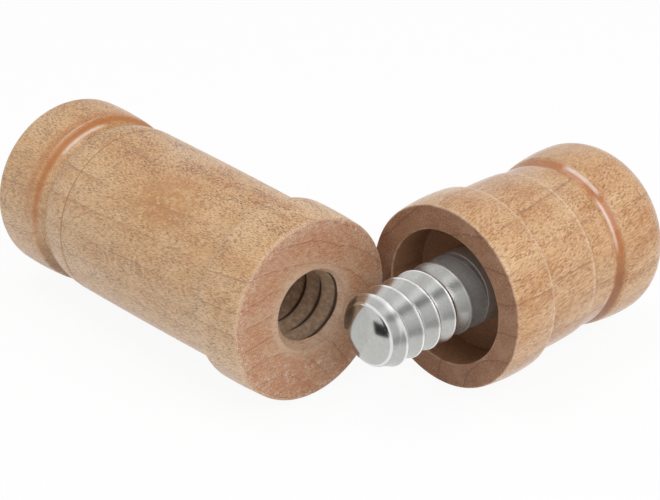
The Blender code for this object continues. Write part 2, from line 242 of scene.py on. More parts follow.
def soften(mesh, sharp=30):
    mesh.shade_smooth()
    mesh.set_sharp_from_angle(angle=math.radians(sharp))


def cutAway(piece, cutters):
    # cuts the shapes out for good, so that the smooth shading follows the new edges
    for cutter in cutters:
        modifier = piece.modifiers.new("cut", "BOOLEAN")
        modifier.operation = "DIFFERENCE"
        modifier.solver = "EXACT"
        modifier.object = cutter
    bpy.context.view_layer.update()
    evaluated = piece.evaluated_get(bpy.context.evaluated_depsgraph_get())
    mesh = bpy.data.meshes.new_from_object(evaluated)
    piece.modifiers.clear()
    piece.data = mesh
    for cutter in cutters:
        bpy.data.objects.remove(cutter)
    soften(mesh)


barrelLow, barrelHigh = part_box("barrel")
barrelFront = Vector(
    (barrelHigh.x, (barrelLow.y + barrelHigh.y) / 2, (barrelLow.z + barrelHigh.z) / 2)
)
turnJoint = next(joint for joint in frame["joints"] if joint["name"] == "screw_turn")
handleFace = Vector(turnJoint["pos_m"])
tipWay = -Vector(turnJoint["axis"]).normalized()


def axisFrame(front, heading):
    # local +Z leaves the front of the piece, and local X points down
    turn = Matrix.Rotation(math.atan2(heading.y, heading.x), 4, "Z")
    return Matrix.Translation(front) @ turn @ Matrix.Rotation(math.pi / 2, 4, "Y")


barrelPlace = axisFrame(barrelFront, Vector((1, 0, 0)))
handlePlace = axisFrame(handleFace, tipWay)


thread = {
    "pitch": 5.9,
    "crest": 10.3,
    "root": 8.7,
    "crestRound": 0.4,  # half width of the rounded crest
    "tipFlank": 4.5,  # length of the flank that faces the tip
    "tipHollow": 1.45,  # 1 is a straight flank
    "backHollow": 1.2,
    "clearance": 0.35,
    "mouthFlare": 0.65,  # of the countersink past the bore's thread, where it meets the face
    "startAngle": 48,  # degrees, of the screw's thread
    "boreAngle": 224,
}


def threadLift(share):
    # height of the thread over its root, 0 to 1, at a share of a pitch past a crest, towards the
    # tip: a long hollow flank on that side, and a short steep one behind the next crest
    share = share % 1.0

    def flank(distance, reach, hollow):
        rounded = math.hypot(distance, thread["crestRound"]) - thread["crestRound"] * 0.6
        peak = 1 - thread["crestRound"] * 0.4 / reach
        return (max(0.0, 1 - rounded / reach) / peak) ** hollow

    backFlank = thread["pitch"] - thread["tipFlank"]
    ahead = flank(share * thread["pitch"], thread["tipFlank"], thread["tipHollow"])
    behind = flank((1 - share) * thread["pitch"], backFlank, thread["backHollow"])
    return max(ahead, behind)


def aboutAxis(bm, radius, angle, height):
    return bm.verts.new((radius * math.cos(angle) * mm, radius * math.sin(angle) * mm, height * mm))


def helixSkin(bm, low, high, radiusAt, startAngle, meridians, rows):
    # one column of vertices for each meridian, joined along rows that follow the helix
    pitch = thread["pitch"]
    clear = 0.02  # no row comes nearer than this to the two ends
    columns = []
    for segment in range(meridians):
        turn = segment / meridians
        heights = [(-math.inf, low)]
        for whole in range(math.floor(low / pitch) - 2, math.ceil(high / pitch) + 1):
            for index in range(rows):
                height = (whole + index / rows + turn) * pitch
                if low + clear < height < high - clear:
                    heights.append((whole * rows + index, height))
        heights.append((math.inf, high))
        angle = 2 * math.pi * turn + math.radians(startAngle)
        column = []
        for key, height in heights:
            radius = radiusAt(height, height / pitch - turn)
            column.append((key, aboutAxis(bm, radius, angle, height)))
        columns.append(column)
    wrapped = [(key - rows, vertex) for key, vertex in columns[0]]
    for left, right in zip(columns, columns[1:] + [wrapped]):
        joinColumns(bm, left, right)
    return columns


def joinColumns(bm, left, right):
    # quads where both columns have the row, and triangles where only one has
    a = 0
    b = 0
    while a < len(left) - 1 or b < len(right) - 1:
        nextLeft = left[a + 1][0] if a < len(left) - 1 else None
        nextRight = right[b + 1][0] if b < len(right) - 1 else None
        if nextLeft == nextRight:
            bm.faces.new((left[a][1], right[b][1], right[b + 1][1], left[a + 1][1]))
            a += 1
            b += 1
        elif nextRight is None or (nextLeft is not None and nextLeft < nextRight):
            bm.faces.new((left[a][1], right[b][1], left[a + 1][1]))
            a += 1
        else:
            bm.faces.new((left[a][1], right[b][1], right[b + 1][1]))
            b += 1


def capRings(bm, ring, outline, startAngle):
    # carries a level ring on over (height, radius) points; the last of them is on the axis
    for height, radius in outline:
        if radius == 0:
            pole = bm.verts.new((0, 0, height * mm))
            for here, after in zip(ring, ring[1:] + ring[:1]):
                bm.faces.new((here, after, pole))
            return
        fresh = []
        for segment in range(len(ring)):
            angle = 2 * math.pi * segment / len(ring) + math.radians(startAngle)
            fresh.append(aboutAxis(bm, radius, angle, height))
        for index in range(len(ring)):
            after = (index + 1) % len(ring)
            bm.faces.new((ring[index], ring[after], fresh[after], fresh[index]))
        ring = fresh


def threadedRod(low, high, radiusAt, tail, head, startAngle, meridians, rows):
    bm = bmesh.new()
    columns = helixSkin(bm, low, high, radiusAt, startAngle, meridians, rows)
    capRings(bm, [column[0][1] for column in columns], tail, startAngle)
    capRings(bm, [column[-1][1] for column in columns], head, startAngle)
    bmesh.ops.recalc_face_normals(bm, faces=bm.faces)
    return bm


barrel = {
    "length": (barrelHigh.x - barrelLow.x) / mm,
    "faceRadius": 25.0,
    "ringRadius": 25.65,
    "ringWidth": 15.6,
    "ringCrown": 0.15,
    "shoulder": 1.8,
    "valley": 1.1,  # hollow where the body meets the front ring
    "bodyFront": 23.35,
    "bodyBack": 24.75,
    "bodyCrown": 0.2,
    "beadWidth": 8.2,
    "beadBack": 23.9,
    "beadCrown": 0.3,
    "beadRound": 0.8,
    "coveWidth": 5.8,  # between the corners, before they are rounded
    "coveDepth": 2.8,
    "coveFloor": 1.9,
    "coveRound": 2.2,
    "lipFront": 25.1,
    "lipEdge": 1.6,
    "lipWidth": 18.0,
    "lipCrown": 0.2,
    "lipRoundLength": 3.6,
    "lipRoundDepth": 4.2,
    "edge": 0.6,
    "grooveWidth": 0.75,
    "grooveDepth": 0.45,
    "tappedWall": 20.5,
    "chamberRadius": 18.0,
    "segments": 220,
}
barrel["lipStart"] = barrel["length"] - barrel["lipWidth"]
barrel["coveStart"] = barrel["lipStart"] - barrel["coveWidth"]
barrel["beadStart"] = barrel["coveStart"] - barrel["beadWidth"]
barrel["grooveStart"] = barrel["beadStart"] - barrel["grooveWidth"]


def grooveOutline(b, station, radius):
    # a V groove whose lips and bottom are slightly rounded
    width, depth = b["grooveWidth"], b["grooveDepth"]
    return [
        (station + width * 0.12, radius - depth * 0.12),
        (station + width * 0.44, radius - depth * 0.92),
        (station + width * 0.56, radius - depth * 0.92),
        (station + width * 0.88, radius - depth * 0.12),
        (station + width, radius),
    ]


def barrelOutline(b):
    shoulderStart = b["ringWidth"] - b["shoulder"]
    points = [(0, 0), (0, 12), (0, b["faceRadius"] - 2 * b["edge"])]
    points += edgeRound(b["faceRadius"], b["edge"], 6)
    points += crown(points[-1], (shoulderStart, b["ringRadius"]), b["ringCrown"], 10)
    drop = b["ringRadius"] - b["bodyFront"]
    points += cornerRound(shoulderStart, b["ringRadius"], b["shoulder"], drop, 10)[1:-1]
    bodyBack = (b["grooveStart"], b["bodyBack"])
    points += fillet(points[-1], (b["ringWidth"], b["bodyFront"]), bodyBack, b["valley"], 5)
    points += crown(points[-1], bodyBack, b["bodyCrown"], 40)
    points += grooveOutline(b, b["grooveStart"], b["bodyBack"])
    lipEnd = b["length"] - b["lipRoundLength"]
    edge = (b["coveStart"], b["beadBack"])
    floor = (b["coveStart"] + b["coveFloor"], b["beadBack"] - b["coveDepth"])
    lip = (b["lipStart"], b["lipFront"])
    lipBack = (lipEnd, b["ringRadius"])
    rounds = (b["beadRound"], b["coveRound"], b["lipEdge"])
    points += crown(points[-1], edge, b["beadCrown"], 12)[:-1]
    points += cove(points[-1], edge, floor, lip, lipBack, rounds, 10)
    points += crown(points[-1], lipBack, b["lipCrown"], 12)
    points += cornerRound(lipEnd, b["ringRadius"], b["lipRoundLength"], b["lipRoundDepth"], 12)[1:]
    points += [(b["length"], b["ringRadius"] - b["lipRoundDepth"] - 1), (b["length"], 0)]
    return points


def tapCutter(b):
    mouth = thread["crest"] + thread["clearance"] + thread["mouthFlare"]

    def radiusAt(height, turns):
        depth = thread["crest"] - thread["root"]
        cut = thread["root"] + thread["clearance"] + depth * threadLift(-turns)
        return max(cut, mouth + height)

    low = -b["tappedWall"] - b["chamberRadius"] / 2
    high = thread["pitch"] / 3
    return threadedRod(low, high, radiusAt, [(low, 0)], [(high, 0)], thread["boreAngle"], 120, 16)


def chamberCutter(b):
    reach = 2 * b["ringRadius"]
    outline = [(-reach, 0), (-reach, b["chamberRadius"])]
    outline += cornerRound(0, b["chamberRadius"], b["chamberRadius"], b["chamberRadius"], 24)
    return spun(outline, 112)


def makeBarrel(b):
    piece = placed("turned_barrel", spun(barrelOutline(b), b["segments"]), barrelPlace)
    tap = placed("tap", tapCutter(b), barrelPlace)
    centre = Matrix.Translation((0, 0, -(b["tappedWall"] + b["chamberRadius"]) * mm))
    across = Matrix.Rotation(-math.pi / 2, 4, "X")
    chamber = placed("chamber", chamberCutter(b), barrelPlace @ centre @ across)
    cutAway(piece, [chamber, tap])
    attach(piece, "barrel")
    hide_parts("barrel")
    return piece


turnedBarrel = makeBarrel(barrel)
print("barrel turned:", len(turnedBarrel.data.polygons), "faces")


handle = {
    "length": 65.6,
    "rimRadius": 25.2,
    "ringRadius": 25.7,
    "ringCrown": 0.4,
    "ringWidth": 14.4,
    "shoulder": 0.9,
    "valley": 0.7,  # hollow where the waist meets the front ring
    "waistFront": 23.4,
    "waistBack": 23.7,
    "waistCrown": 0.3,
    "bandWidth": 7.6,
    "bandRadius": 23.1,
    "bandRound": 0.8,
    "coveWidth": 4.8,
    "coveDepth": 1.4,
    "coveFloor": 1.5,
    "coveRound": 1.6,
    "pommelFront": 24.1,
    "pommelEdge": 1.2,
    "pommelRadius": 24.8,
    "pommelWidth": 19.4,
    "pommelCrown": 0.25,
    "pommelRound": 9.2,
    "recessRadius": 18.4,
    "recessDepth": 12.0,
    "edge": 0.6,
    "grooveWidth": 0.9,
    "grooveDepth": 0.55,
    "tangRadius": 6.5,
    "tangLength": 26.0,
    "seatGap": 0.3,
    "segments": 220,
}
handle["pommelStart"] = handle["length"] - handle["pommelWidth"]
handle["coveStart"] = handle["pommelStart"] - handle["coveWidth"]
handle["bandStart"] = handle["coveStart"] - handle["bandWidth"]
handle["grooveStart"] = handle["bandStart"] - handle["grooveWidth"]


def handleOutline(h):
    # from the bottom of the tang's socket, out over the recess and rim, and back to the far end
    socketRadius = h["tangRadius"] + h["seatGap"]
    socketBottom = h["recessDepth"] + h["tangLength"] + h["seatGap"]
    shoulderStart = h["ringWidth"] - h["shoulder"]
    recess, edge = h["recessRadius"], h["edge"]
    points = [(socketBottom, 0), (socketBottom, socketRadius), (h["recessDepth"], socketRadius)]
    floorRound = cornerRound(h["recessDepth"] - edge, recess, edge, edge, 5)
    points += reversed(floorRound)
    points += crown((edge / 2, recess), (0, recess + edge / 2), 0.06, 3)
    points.insert(-3, (edge / 2, recess))
    points += [(0, recess + edge), (0, h["rimRadius"] - 1.5 * edge)]
    points += edgeRound(h["rimRadius"], edge, 6)
    points += crown(points[-1], (shoulderStart, h["ringRadius"]), h["ringCrown"], 14)
    drop = h["ringRadius"] - h["waistFront"]
    points += cornerRound(shoulderStart, h["ringRadius"], h["shoulder"], drop, 8)[1:-1]
    waistBack = (h["grooveStart"], h["waistBack"])
    points += fillet(points[-1], (h["ringWidth"], h["waistFront"]), waistBack, h["valley"], 5)
    points += crown(points[-1], waistBack, h["waistCrown"], 16)
    points += grooveOutline(h, h["grooveStart"], h["bandRadius"])
    roundStart = h["length"] - h["pommelRound"]
    edge = (h["coveStart"], h["bandRadius"])
    floor = (h["coveStart"] + h["coveFloor"], h["bandRadius"] - h["coveDepth"])
    lip = (h["pommelStart"], h["pommelFront"])
    pommelBack = (roundStart, h["pommelRadius"])
    rounds = (h["bandRound"], h["coveRound"], h["pommelEdge"])
    points += cove(points[-1], edge, floor, lip, pommelBack, rounds, 10)
    points += crown(points[-1], pommelBack, h["pommelCrown"], 10)
    points += cornerRound(roundStart, h["pommelRadius"], h["pommelRound"], h["pommelRound"], 16)[1:]
    points += [(h["length"], h["pommelRadius"] - h["pommelRound"] - 1), (h["length"], 0)]
    return points


def makeHandle(h):
    piece = placed("turned_handle", spun(handleOutline(h), h["segments"]), handlePlace)
    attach(piece, "handle_and_screw")
    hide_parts("handle")
    return piece


turnedHandle = makeHandle(handle)
print("handle turned:", len(turnedHandle.data.polygons), "faces")


screw = {
    "reach": 28.1,  # to the rim of the dome, from the handle's face
    "domeRadius": 8.0,
    "domeHeight": 1.9,
    "domeEdge": 0.5,
    "taper": 3.2,  # the crest thins over this length before the dome
    "taperCurve": 1.3,
    "runOut": 3.0,
    "collarLength": 6.0,
    "tangGroove": 0.6,
    "tangSpacing": 5.0,
    "edge": 0.6,
    "meridians": 180,
    "rows": 28,
}


def screwMesh(s, h):
    # heights are measured from the floor of the handle's recess towards the tip
    shoulder = s["collarLength"] + 2 * h["seatGap"]
    domeEdge = h["recessDepth"] + s["reach"]
    crest, root, dome = thread["crest"], thread["root"], s["domeRadius"]
    rimDrop = s["domeEdge"] * 0.6

    def blankRadius(height):
        # the turned blank: full width, a taper with a soft start, and the rounded rim of the dome
        run = max(0.0, 1 - (domeEdge - height) / s["taper"])
        tapered = crest - (crest - dome - rimDrop) * run ** s["taperCurve"]
        lip = max(0.0, 1 - (domeEdge - height) / s["domeEdge"])
        return tapered - rimDrop * (1 - math.sqrt(max(0.0, 1 - lip * lip)))

    def radiusAt(height, turns):
        fade = min(1.0, max(0.0, (height - shoulder) / s["runOut"]))
        runOut = 1 - fade * fade * (3 - 2 * fade)
        lift = max(threadLift(turns), runOut)
        return min(root + (crest - root) * lift, blankRadius(height))

    threadEnd = domeEdge - s["domeEdge"]
    head = []
    rimSteps, domeSteps = 6, 24
    for step in range(1, rimSteps + 1):
        height = threadEnd + s["domeEdge"] * math.sin(math.pi / 2 * step / rimSteps)
        head.append((height, min(root, blankRadius(height))))
    sphere = (dome**2 + s["domeHeight"] ** 2) / (2 * s["domeHeight"])
    for step in range(1, domeSteps + 1):
        radius = dome * (1 - step / domeSteps)
        lift = math.sqrt(sphere * sphere - radius * radius) - sphere + s["domeHeight"]
        head.append((domeEdge + lift, radius))
    tang, tangEnd = h["tangRadius"], -h["tangLength"]
    tail = [(shoulder, tang)]
    groove = -s["tangSpacing"]
    half = s["tangSpacing"] / 4
    while groove - s["tangSpacing"] > tangEnd:
        tail += [(groove + half, tang), (groove, tang - s["tangGroove"]), (groove - half, tang)]
        groove -= 2 * s["tangSpacing"]
    tail += [(tangEnd + s["edge"], tang), (tangEnd, tang - s["edge"]), (tangEnd, 0)]
    return threadedRod(
        shoulder, threadEnd, radiusAt, tail, head, thread["startAngle"], s["meridians"], s["rows"]
    )


def collarOutline(s, h):
    bore = h["tangRadius"] + h["seatGap"]
    outside, length, edge = thread["crest"], s["collarLength"], 0.3
    points = [(0, bore), (0, outside - 2 * edge)]
    points += edgeRound(outside, edge, 4)
    points += [(length * share, outside) for share in (0.25, 0.5, 0.75)]
    points += cornerRound(length - edge, outside, edge, edge, 4)
    points += [(length, outside - 2 * edge), (length, bore)]
    return points


def makeScrew(s, h):
    floor = Matrix.Translation((0, 0, -h["recessDepth"] * mm))
    piece = placed("threaded_screw", screwMesh(s, h), handlePlace @ floor, 40)
    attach(piece, "handle_and_screw")
    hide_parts("screw")
    station = h["recessDepth"] - h["seatGap"] - s["collarLength"]
    front = Matrix.Translation((0, 0, -station * mm))
    ring = placed("screw_collar", spun(collarOutline(s, h), 144, closed=True), handlePlace @ front)
    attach(ring, "thrust_collar")
    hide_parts("collar")
    return piece, ring


threadedScrew, screwCollar = makeScrew(screw, handle)
print("screw cut:", len(threadedScrew.data.polygons), "faces")


# Fibres run along local Z with a slight lean. One solid growth figure gives the lines on the sides
# and the arcs on the faces; what the lathe left hollow takes the finish more deeply, and its deeper
# colour there is partly that finish and partly painted shade.
# A stripe is (start, end, softness) along the axis, and a side is (the angle it faces, where its
# mask starts, where it is full).
maple = {
    "fleck": rgb(236, 208, 174),
    "line": rgb(116, 70, 36),
    # deep orange of the coves: partly pooled finish and partly painted shade
    "cove": rgb(178, 100, 22),
    # pale colour of the painted highlights on edges and beside valleys
    "highlightPale": rgb(232, 208, 182),
    # the scuffs' colour, which is also the colour of the painted highlights in the coves
    "scuffAndHighlight": rgb(236, 214, 200),
    "amberAmount": 0.7,
}


def localPlace(g):
    place = g.node("ShaderNodeTexCoord", {}, {}, "Object")
    scaled = {0: place, "Scale": 1 / mm}
    return g.node("ShaderNodeVectorMath", {"operation": "SCALE"}, scaled, "Vector")


def axes(g, place):
    split = g.node("ShaderNodeSeparateXYZ", {}, {"Vector": place})
    return [Wire(g, split.socket.node.outputs[name]) for name in "XYZ"]


def woodFields(g, look):
    # places and masks that both turned pieces share; lengths are millimetres
    place = localPlace(g)
    x, y, z = axes(g, place)
    lean = g.node("ShaderNodeCombineXYZ", {}, {0: z * look["lean"]})
    fibres = g.vector("ADD", g.vector("ADD", place, lean), look["seed"])
    normal = g.node("ShaderNodeTexCoord", {}, {}, "Normal")
    return {
        "place": place,
        "fibres": fibres,
        "x": x,
        "y": y,
        "z": z,
        "station": 0.0 - z,
        "radius": g.maths("SQRT", x * x + y * y),
        "facing": g.node("ShaderNodeSeparateXYZ", {}, {"Vector": normal}, "Z"),
    }


def towards(g, f, degrees):
    # 1 on the side that faces an angle, counted from local +Y to -X, and -1 opposite
    angle = math.radians(degrees)
    return (f["y"] * math.cos(angle) - f["x"] * math.sin(angle)) / f["radius"]


def sideMask(g, f, side):
    degrees, low, full = side
    return g.step(towards(g, f, degrees), low, full)


def stripeMask(g, f, line, stripe):
    # a stripe round the piece, measured from a line on it
    start, end, soft = stripe
    return g.band(f["station"], line + start, line + end, soft)


def frontMask(g, f):
    # the flat front, without its rounded edges
    return g.step(f["station"], 0.35, 0.05) * g.step(f["facing"], 0.6, 0.9)


def growth(g, f, look):
    # the thin line of each ring, where lines are kept, the late wood, and how the rings lie to the
    # surface: 1 where they are flat to it
    p = f["fibres"]
    wander = g.noise(p, 0.07, 2.0, 0.5, 0.0, (1, 1, 0.3)) - 0.5
    tremble = g.noise(p, 0.5, 2.0, 0.6, 0.0, (1, 1, 0.12)) - 0.5
    dx = f["x"] - look["pith"][0] + f["z"] * look["pithTilt"][0]
    dy = f["y"] - look["pith"][1] + f["z"] * look["pithTilt"][1]
    distance = g.maths("SQRT", dx * dx + dy * dy) + wander * look["wander"] + tremble * 0.5
    phase = g.maths("FRACT", distance / look["ringSpacing"] + look["ringPhase"])
    width = look["lineWidth"] / look["ringSpacing"]
    line = g.step(phase, 1 - 4 * width, 1 - width) * g.step(phase, 1.0, 1 - width * 0.4)
    low = look["lineKept"]
    kept = g.step(g.noise(p, 0.16, 1.0, 0.5, 0.0, (1, 1, 0.3)), low, low + 0.12)
    late = g.step(phase, 0.2, 0.95) * g.step(phase, 1.0, 0.97)
    across = (dx * f["x"] + dy * f["y"]) / (distance * f["radius"])
    return line, kept, late, across * across


def longGrain(g, f, look):
    # what the turned sides show: dashes, flecks, amber clouds and growth lines
    p = f["fibres"]
    line, kept, late, flat = growth(g, f, look)
    # where the rings lie flat to the surface their lines would smear, so they fade out
    line = line * kept * g.step(flat, 0.92, 0.6)
    along = look["dashAlong"] / look["dashAcross"]
    marks = g.noise(p, look["dashAcross"], 2.0, 0.65, 0.25, (1, 1, along))
    density = g.noise(p, 0.22, 2.0, 0.6, 0.0, (1, 1, 0.5))
    dash = g.step(marks + (density - 0.5) * 0.2, 0.48, 0.66)
    fleck = g.step(marks, 0.5, 0.34)
    cloud = g.noise(p, 0.13, 4.0, 0.62, 0.7, (1, 1, 0.3))
    drift = g.noise(p, 0.035, 1.0)
    colour = g.mix(g.step(drift * 0.5 + cloud * 0.5, 0.36, 0.6), look["pale"], look["honey"])
    amber = g.step(cloud + late * 0.1 + (density - 0.5) * 0.25, 0.5, 0.76)
    colour = g.mix(amber * look["amberAmount"], colour, look["amber"])
    colour = g.mix(late * 0.16, colour, look["amber"])
    colour = g.mix(dash * look["dashAmount"], colour, look["dash"])
    colour = g.mix(fleck * look["fleckAmount"], colour, look["fleck"])
    colour = g.mix(line * look["lineAmount"], colour, look["line"])
    return colour, dash, fleck, line


def endGrain(g, f, look):
    # what the faces show: growth rings and grit
    line, _, late, _ = growth(g, f, look)
    cloud = g.noise(f["place"], 0.13, 3.0, 0.6, 0.8)
    grit = g.noise(f["place"], 1.9, 3.0, 0.7, 0.2)
    colour = g.mix(g.step(cloud, 0.38, 0.62), look["endTan"], look["endRust"])
    colour = g.mix(late * 0.6, colour, look["endRust"])
    colour = g.mix(g.step(grit, 0.48, 0.7) * 0.75, colour, look["endPale"])
    colour = g.mix(g.step(grit, 0.47, 0.3) * 0.55, colour, look["endLine"])
    colour = g.mix(line * 0.6, colour, look["endLine"])
    return colour, grit


def coveFinish(g, f, line, look):
    # where the finish pooled in a cove, and how unevenly it was brushed; as a colour the same mask
    # is also painted shade in the cove
    hollow = stripeMask(g, f, line, look["hollow"])
    brushed = g.noise(f["place"], 0.5, 2.0, 0.6, 0.5) - 0.5
    poolAndShade = g.maths("MAXIMUM", hollow + brushed * hollow * 0.5, 0.0)
    return hollow, brushed, poolAndShade


def paintedCoveHighlights(g, f, line, look, colour):
    # painted highlights: pale streaks in and beside a cove, each on one side only, which stand in
    # for reflections in the lacquer
    paintedHighlights = 0.0
    for stripe, side in look["paintedHighlights"]:
        paintedHighlight = stripeMask(g, f, line, stripe) * sideMask(g, f, side)
        paintedHighlights = g.maths("MAXIMUM", paintedHighlights, paintedHighlight)
    least, uneven = look["paintedHighlightAmount"]
    amount = least + g.noise(f["place"], 0.35, 3.0, 0.6) * uneven
    return g.mix(paintedHighlights * amount, colour, look["scuffAndHighlight"])


def finishWood(g, look, colour, poolAndShade, raw, height):
    # lacquer: thicker and glossier where it pooled, none on the raw faces
    sheen = g.noise(localPlace(g), 0.5, 2.0)
    pooled = poolAndShade * (look["gloss"] - 0.14)
    g.principled(
        {
            "Base Color": colour,
            "Roughness": look["gloss"] - pooled + raw * 0.25 + (sheen - 0.5) * 0.1,
            "Coat Weight": g.maths("MAXIMUM", look["coat"] + poolAndShade * 0.15 - raw * 0.6, 0.0),
            "Coat Roughness": 0.1,
            "Coat IOR": 1.5,
            "Specular IOR Level": 0.35,
            "Normal": g.bump(height, look["relief"], 0.1),
        }
    )


barrelLook = {
    **maple,
    "pale": rgb(216, 182, 144),
    "honey": rgb(206, 161, 106),
    "amber": rgb(186, 128, 72),
    "dash": rgb(108, 56, 16),
    "dashAcross": 4.2,  # marks in a millimetre, across the fibres
    "dashAlong": 0.75,
    "dashAmount": 1.0,
    "fleckAmount": 0.55,
    "lean": 0.16,
    "seed": (31.0, 7.0, 53.0),
    "pith": (32.0, -14.0),  # from the axis
    "pithTilt": (0.03, 0.05),
    "wander": 4.0,
    "ringSpacing": 6.0,  # of the growth rings
    "ringPhase": 0.15,
    "lineWidth": 0.15,
    "lineKept": 0.44,
    "lineAmount": 0.62,
    "flatSawnSide": 167,
    "arcSpacing": 0.5,
    "arcPale": 0.3,
    "arcDark": 0.16,
    # painted bounce light on the side towards the table
    "lowBounceLight": 0.3,
    "lowBounceLift": (0.06, 0.05, 0.04, 1),
    "topSide": (95, -0.4, 0.7),
    # painted shade over the top side
    "topShadeTint": rgb(240, 220, 186),
    "topShadeAmount": 0.4,
    "hollow": (-1.5, -0.4, 0.6),
    "coveLow": 0.08,  # how strongly the cove is coloured below, and how much more on top
    "coveTop": 0.68,
    # painted highlights in and beside the cove
    "paintedHighlights": [((-2.1, -1.5, 0.3), (108, 0.92, 0.985)), ((0.2, 0.5, 0.25), (108, 0.92, 0.985))],
    "paintedHighlightAmount": (0.45, 0.6),
    # painted shade in the crease between cove and lip, on top
    "crease": (-1.2, -0.1, 0.4),
    "creaseShadeColour": rgb(172, 98, 28),
    "creaseShadeAmount": 0.35,
    "lipTint": (0.0, 3.0, 1.8),
    "lipAmount": 0.5,
    # painted shadow in the crease before the lip, on the low side
    "under": (-2.2, -0.3, 0.6),
    "underAmount": 0.35,
    "patchSide": (120, 0.9, 0.99),
    "patch": (33, 52, 8),
    "patchAmount": 0.75,
    "valley": (-0.9, 0.9, 0.9),
    "ringValleyHighlight": 0.55,
    "grooveShadeAmount": 0.4,
    "endPale": rgb(206, 176, 150),
    "endTan": rgb(190, 148, 116),
    "endRust": rgb(182, 124, 86),
    "endLine": rgb(142, 92, 62),
    "turning": 0.62,  # between the lathe's marks on the face
    "halo": (9.0, 13.4, 1.6),
    "haloColour": rgb(206, 182, 158),
    "scuffedSide": (262, 0.5, 0.95),
    "scuffedFrom": (13, 17),
    "rimFrom": (20.5, 24.0),
    "rimScuffs": 0.8,
    "faceRimHighlight": 0.22,
    "boreDeep": (26, 22),
    "landDark": rgb(158, 130, 106),
    "landPale": rgb(188, 160, 134),
    "threadBottomShade": rgb(52, 42, 38),
    "threadBottomShadeAmount": 0.85,
    "gloss": 0.42,
    "coat": 0.25,
    "relief": 0.45,
}


def flatSawnArcs(g, f, look, colour):
    # nested pale arcs low on the side that was sawn flat to the rings; that side is also made paler
    # and brighter towards the table, painted bounce light
    lowSide = towards(g, f, look["flatSawnSide"])
    sway = g.noise(f["place"], 0.25, 2.0) * 1.6
    steps = (lowSide * 24.0 + f["z"] * 0.13 + sway) * (2 * math.pi / look["arcSpacing"])
    arcs = g.maths("SINE", steps)
    shown = g.step(lowSide, 0.86, 0.97) * g.step(g.noise(f["place"], 0.12, 1.0), 0.4, 0.6)
    colour = g.mix(g.step(arcs, 0.1, 1.0) * shown * look["arcPale"], colour, look["fleck"])
    colour = g.mix(g.step(arcs, -0.2, -1.0) * shown * look["arcDark"], colour, look["dash"])
    # painted bounce light: paler and lifted towards the table
    below = g.step(lowSide, 0.1, 1.0)
    colour = g.mix(below * look["lowBounceLight"], colour, look["pale"])
    return g.mix(below, colour, g.mix(1.0, colour, look["lowBounceLift"], "ADD"))


def barrelCove(g, f, b, look, colour):
    # the cove keeps the most finish, and its edges the least; the cove's deeper colour is partly
    # that finish and partly painted shade, strongest on top. The top and the cove's creases also
    # get painted shade, the cove painted highlights, and the lip is made oranger on top
    lip = b["lipStart"]
    top = sideMask(g, f, look["topSide"])
    _, brushed, poolAndShade = coveFinish(g, f, lip, look)
    # painted shade: the top of the whole barrel is tinted darker and warmer
    tinted = g.mix(1.0, colour, look["topShadeTint"], "MULTIPLY")
    colour = g.mix(top * look["topShadeAmount"], colour, tinted)
    # the cove's deeper colour: partly pooled finish, partly painted shade, much stronger on top
    colour = g.mix(poolAndShade * (look["coveLow"] + top * look["coveTop"]), colour, look["cove"])
    colour = paintedCoveHighlights(g, f, lip, look, colour)
    # painted shade: a dark orange line in the crease between the cove and the lip, on the top side
    crease = stripeMask(g, f, lip, look["crease"]) * top * look["creaseShadeAmount"]
    colour = g.mix(crease, colour, look["creaseShadeColour"])
    lipTint = stripeMask(g, f, lip, look["lipTint"]) * top * look["lipAmount"]
    colour = g.mix(lipTint, colour, look["cove"])
    # painted shadow: the crease before the lip is darkened on the low side
    under = stripeMask(g, f, lip, look["under"]) * g.step(top, 0.2, 0.0) * look["underAmount"]
    colour = g.mix(under, colour, look["dash"])
    patch = sideMask(g, f, look["patchSide"]) * stripeMask(g, f, 0, look["patch"])
    patch = patch * g.step(brushed, -0.2, 0.1) * look["patchAmount"]
    return g.mix(patch, colour, look["amber"]), poolAndShade


def barrelFace(g, f, look):
    # burnished round the bore, scuffed low down and at the rim
    place, radius = f["place"], f["radius"]
    face, grit = endGrain(g, f, look)
    turning = g.maths("SINE", radius * (2 * math.pi / look["turning"]))
    lathe = g.step(turning, -0.6, 1.0) * g.noise(place, 0.4, 1.0)
    halo = g.band(radius, *look["halo"]) * (0.2 + g.noise(place, 1.2, 3.0, 0.75) * 0.5)
    face = g.mix(halo, face, look["haloColour"])
    face = g.mix(lathe * 0.3, face, look["endPale"])
    scratches = g.noise(place, 0.9, 4.0, 0.8, 1.6)
    patches = g.step(g.noise(place, 0.22, 2.0), 0.46, 0.6)
    low = sideMask(g, f, look["scuffedSide"]) * g.step(radius, *look["scuffedFrom"]) * patches
    rim = g.step(radius, *look["rimFrom"]) * look["rimScuffs"]
    scuffed = g.step(scratches, 0.5, 0.62) * g.maths("MAXIMUM", low, rim)
    face = g.mix(scuffed * 0.8, face, look["scuffAndHighlight"])
    crossed = g.noise(place, 2.2, 2.0, 0.6, 0.0, (1.0, 0.25, 1.0))
    face = g.mix(g.step(crossed, 0.5, 0.64) * 0.4, face, look["endPale"])
    face = g.mix(g.step(crossed, 0.48, 0.34) * 0.3, face, look["endLine"])
    return face, grit, turning


